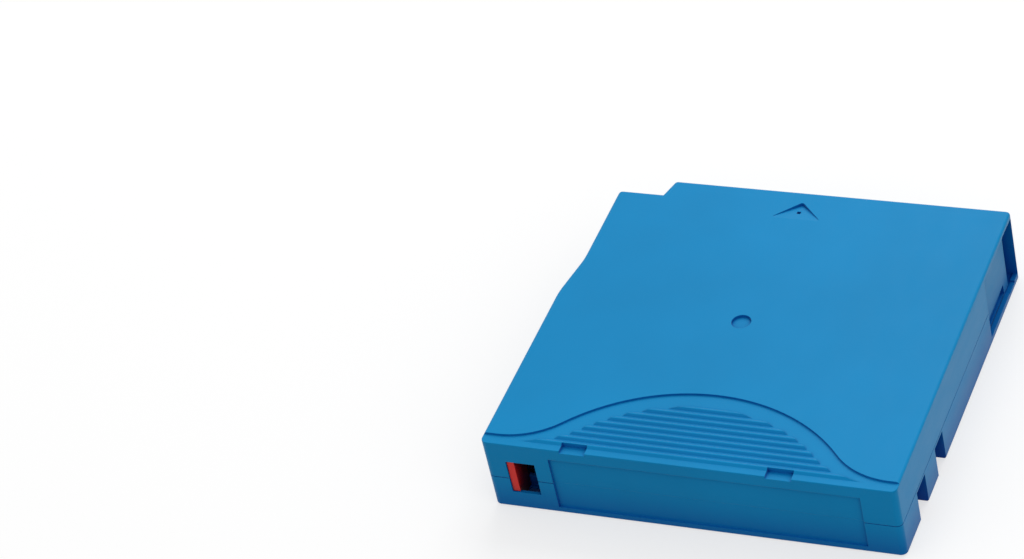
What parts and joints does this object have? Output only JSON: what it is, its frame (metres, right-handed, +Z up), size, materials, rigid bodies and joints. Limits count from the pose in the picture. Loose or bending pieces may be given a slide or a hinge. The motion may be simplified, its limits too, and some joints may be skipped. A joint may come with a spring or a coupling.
{
  "type": "data tape cartridge",
  "caption": "Square data tape cartridge with one reel, ribbed grip area, spring-loaded tape door, write-protect slider and toothed drive opening in the base.",
  "frame": {"origin": "middle of the bounding rectangle of the base, on the surface that the cartridge lies on", "axes": "+X towards the flank with the tape door, +Y towards the end that goes into the drive, +Z up out of the grip side"},
  "size_m": [0.1054, 0.102, 0.0215],
  "materials": {
    "case_plastic": "fine moulded texture, satin",
    "red_plastic": "satin",
    "reel_plastic": "smooth natural plastic",
    "brake_plastic": "smooth, low friction",
    "clip_plastic": "satin",
    "plated_steel": "turned and plated",
    "spring_steel": "drawn",
    "tape": "dark brown coated film",
    "circuit_board": "solder resist"
  },
  "bodies": {
    "case": {"upper_shell": "case_plastic", "lower_shell": "case_plastic", "memory_chip": "circuit_board", "leader_pin": "plated_steel", "leader_pin_clip": "clip_plastic", "pin_retainer": "spring_steel", "tape_lead": "tape", "brake_spring": "spring_steel", "door_spring": "spring_steel"},
    "reel": {"reel_hub": "reel_plastic", "upper_flange": "reel_plastic", "reel_plate": "plated_steel", "tape_pack": "tape"},
    "brake": {"brake_button": "brake_plastic"},
    "release": {"release_pad": "brake_plastic"},
    "door": {"sliding_door": "case_plastic"},
    "write_protect": {"write_protect_slider": "red_plastic"}
  },
  "joints": [
    {"name": "reel_spin", "type": "hinge", "parent": "case", "child": "reel", "pos_m": [-0.0022, 0.0005, 0], "axis": [0, 0, 1], "continuous": true},
    {"name": "brake_lift", "type": "slide", "parent": "case", "child": "brake", "axis": [0, 0, 1], "range_m": [0, 0.0016], "stiffness_N_per_m": 600, "springref_m": -0.004, "deforming": ["brake_spring"]},
    {"name": "release_lift", "type": "slide", "parent": "reel", "child": "release", "axis": [0, 0, 1], "range_m": [0, 0.0016]},
    {"name": "door_slide", "type": "slide", "parent": "case", "child": "door", "axis": [0, -1, 0], "range_m": [0, 0.022], "stiffness_N_per_m": 30, "springref_m": -0.015, "deforming": ["door_spring"]},
    {"name": "write_protect_slide", "type": "slide", "parent": "case", "child": "write_protect", "axis": [1, 0, 0], "range_m": [0, 0.005]}
  ],
  "couplings": [
    {"joint": "release_lift", "follows": "brake_lift", "ratio": 1}
  ]
}
